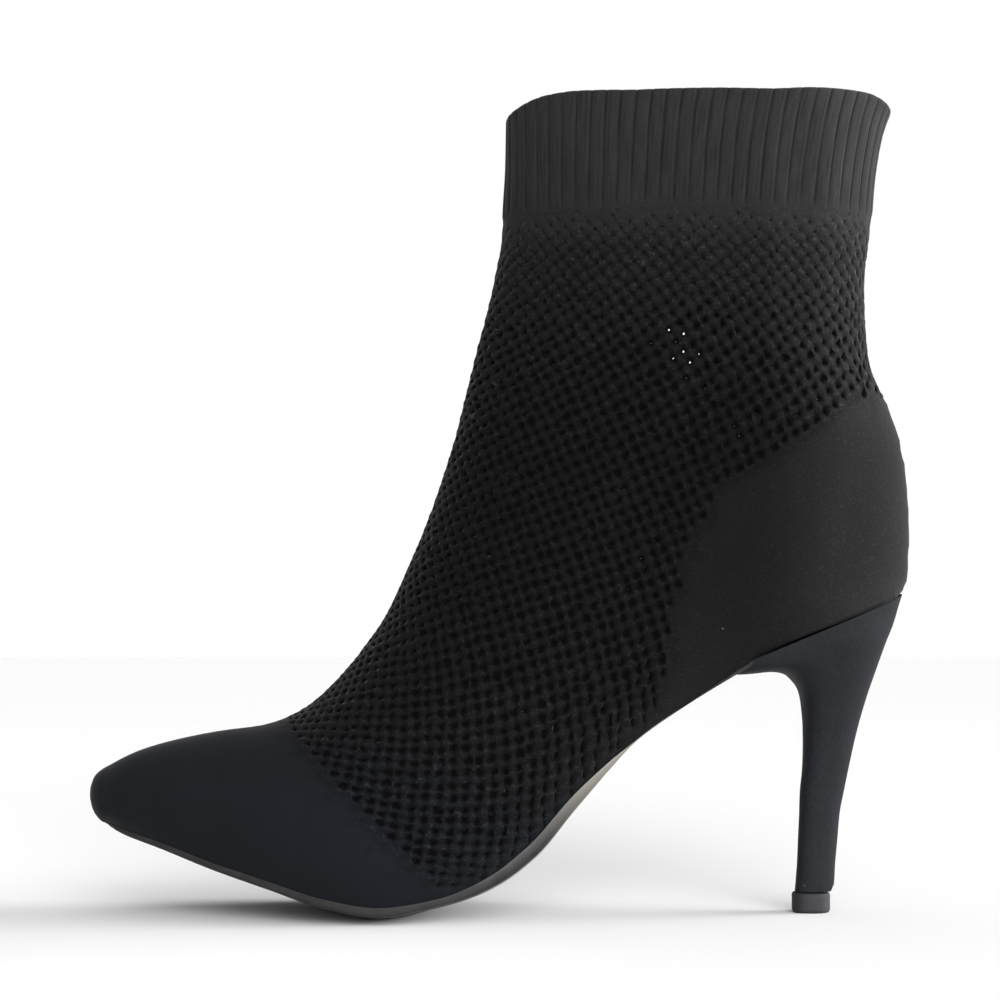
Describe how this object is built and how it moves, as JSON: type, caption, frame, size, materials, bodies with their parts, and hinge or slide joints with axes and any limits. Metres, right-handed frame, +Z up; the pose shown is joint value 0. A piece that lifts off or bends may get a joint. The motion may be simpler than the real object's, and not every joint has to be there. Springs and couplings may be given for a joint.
{
  "type": "ankle boot",
  "caption": "Knit ankle boot with a ribbed cuff, eyelet-mesh shaft, pointed toe, thin arched sole and a slim stiletto heel with a tip.",
  "frame": {"origin": "on the floor, under the middle of the boot's bounding box", "axes": "+Z up, -X towards the toe, -Y the outer side of this left boot"},
  "size_m": [0.245, 0.076, 0.2414],
  "materials": {
    "knit": "black machine knit, matte",
    "insole_cover": "black smooth cover",
    "sole_rubber": "black, satin",
    "heel_cover": "black cover with a low sheen",
    "tip_plastic": "dark grey, matte"
  },
  "bodies": {
    "root": {"upper": "knit", "insole": "insole_cover", "outsole": "sole_rubber", "heel": "heel_cover", "heel_tip": "tip_plastic"}
  },
  "joints": []
}
